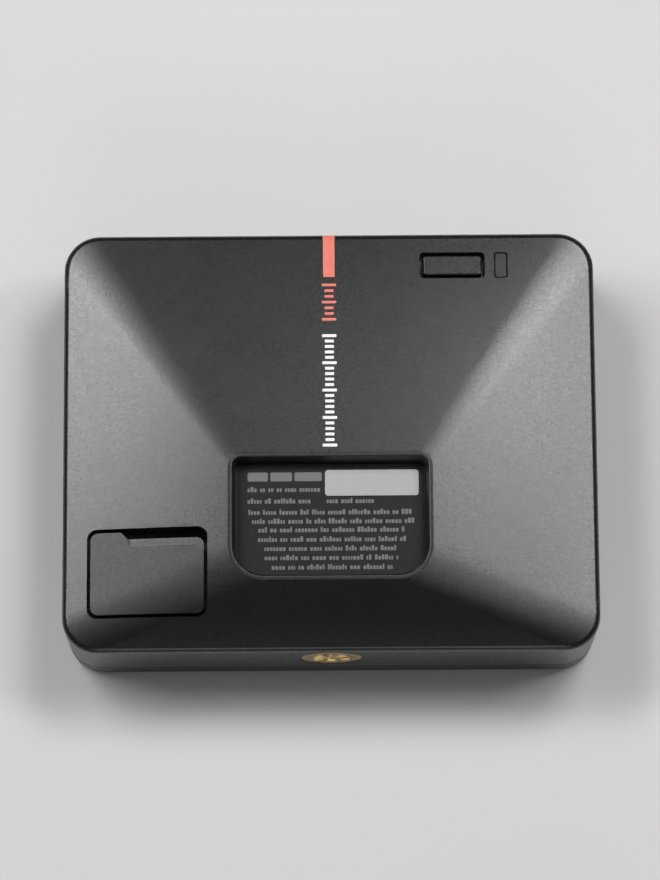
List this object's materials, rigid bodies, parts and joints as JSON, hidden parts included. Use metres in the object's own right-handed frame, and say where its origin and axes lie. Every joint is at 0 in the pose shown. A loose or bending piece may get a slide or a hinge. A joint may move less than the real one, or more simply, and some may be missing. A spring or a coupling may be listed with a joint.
{
  "type": "golf launch monitor",
  "caption": "Palm-sized radar launch monitor: flat front cover, shallow pyramid back with a recessed label, power key, status window, hinged port cap and a threaded stand insert.",
  "frame": {"origin": "centre of the front face, which is the face the unit rests on when laid down", "axes": "+X to the right and +Y to the top edge as seen from the back, +Z out of the back; the stand insert opens along -Y"},
  "size_m": [0.0888, 0.071, 0.0254],
  "materials": {
    "housing_plastic": "fine spark-eroded matte grain",
    "cover_plastic": "fine matte, slightly smoother than the housing",
    "stripe_red": "satin, coral red",
    "label_film": "satin polyester film with grey print",
    "sticker_vinyl": "satin, pale blue-grey",
    "port_rubber": "smooth soft-touch",
    "seal_silicone": "smooth silicone",
    "light_guide": "smoked acrylic",
    "insert_brass": "turned, bright",
    "screw_steel": "zinc plated",
    "shield_tin": "tinned sheet",
    "antenna_copper": "gold-flashed copper",
    "antenna_laminate": "radio-frequency laminate with green solder mask",
    "board_laminate": "green solder mask",
    "chip_epoxy": "moulded epoxy",
    "component_tan": "tinned ends",
    "tantalum_body": "moulded, with a polarity bar",
    "ferrite_grey": "moulded ferrite",
    "thermal_gel": "soft, tacky",
    "cell_foil": "pouch foil",
    "foam_black": "open-cell foam",
    "tape_white": "double-sided film tape",
    "lead_red": "wire insulation",
    "lead_black": "wire insulation",
    "connector_nylon": "natural nylon",
    "flex_polyimide": "polyimide film over copper",
    "frame_plastic": "glass-filled, dull",
    "lamp_epoxy": "milky epoxy",
    "contact_gold": "gold-plated"
  },
  "bodies": {
    "housing": {"alignment_stripe": "stripe_red", "antenna_board": "antenna_laminate", "antenna_board_chips": "chip_epoxy", "antenna_board_screws": "screw_steel", "antenna_cable_socket": "connector_nylon", "battery_adhesive": "tape_white", "battery_cell": "cell_foil", "battery_foam": "foam_black", "battery_lead_negative": "lead_black", "battery_lead_positive": "lead_red", "battery_plug": "connector_nylon", "battery_protection_board": "board_laminate", "battery_socket": "connector_nylon", "blank_sticker": "sticker_vinyl", "bluetooth_module": "shield_tin", "board_flat_cable": "flex_polyimide", "cap_tether": "port_rubber", "charger_chip": "chip_epoxy", "chip_passives": "component_tan", "crystal": "shield_tin", "frame_screws": "screw_steel", "front_cover": "cover_plastic", "key_boot": "seal_silicone", "level_sensor": "chip_epoxy", "light_pipe": "light_guide", "main_board": "board_laminate", "main_cable_socket": "connector_nylon", "memory_chip": "chip_epoxy", "mid_frame": "frame_plastic", "perimeter_gasket": "seal_silicone", "power_inductors": "ferrite_grey", "processor": "chip_epoxy", "radar_chip": "chip_epoxy", "radar_shield": "shield_tin", "rating_label": "label_film", "rear_housing": "housing_plastic", "receive_antennas": "antenna_copper", "socket_contacts": "contact_gold", "socket_seal": "seal_silicone", "socket_shell": "shield_tin", "socket_tongue": "chip_epoxy", "stand_insert": "insert_brass", "status_lamp": "lamp_epoxy", "tactile_switch": "shield_tin", "tantalum_capacitors": "tantalum_body", "thermal_pad": "thermal_gel", "transmit_antenna": "antenna_copper"},
    "key": {"power_key": "housing_plastic"},
    "plunger": {"switch_plunger": "chip_epoxy"},
    "cap": {"port_cap": "port_rubber"}
  },
  "joints": [
    {"name": "key_press", "type": "slide", "parent": "housing", "child": "key", "axis": [0, 0, -1], "range_m": [0, 0.0003], "stiffness_N_per_m": 60, "springref_m": -0.0005, "deforming": ["key_boot"]},
    {"name": "switch_press", "type": "slide", "parent": "housing", "child": "plunger", "axis": [0, 0, -1], "range_m": [0, 0.00025]},
    {"name": "cap_hinge", "type": "hinge", "parent": "housing", "child": "cap", "pos_m": [-0.0398, -0.0226, 0.0219], "axis": [0, -1, 0], "range_deg": [0, 110]}
  ],
  "couplings": [
    {"joint": "switch_press", "follows": "key_press", "ratio": 0.8}
  ]
}
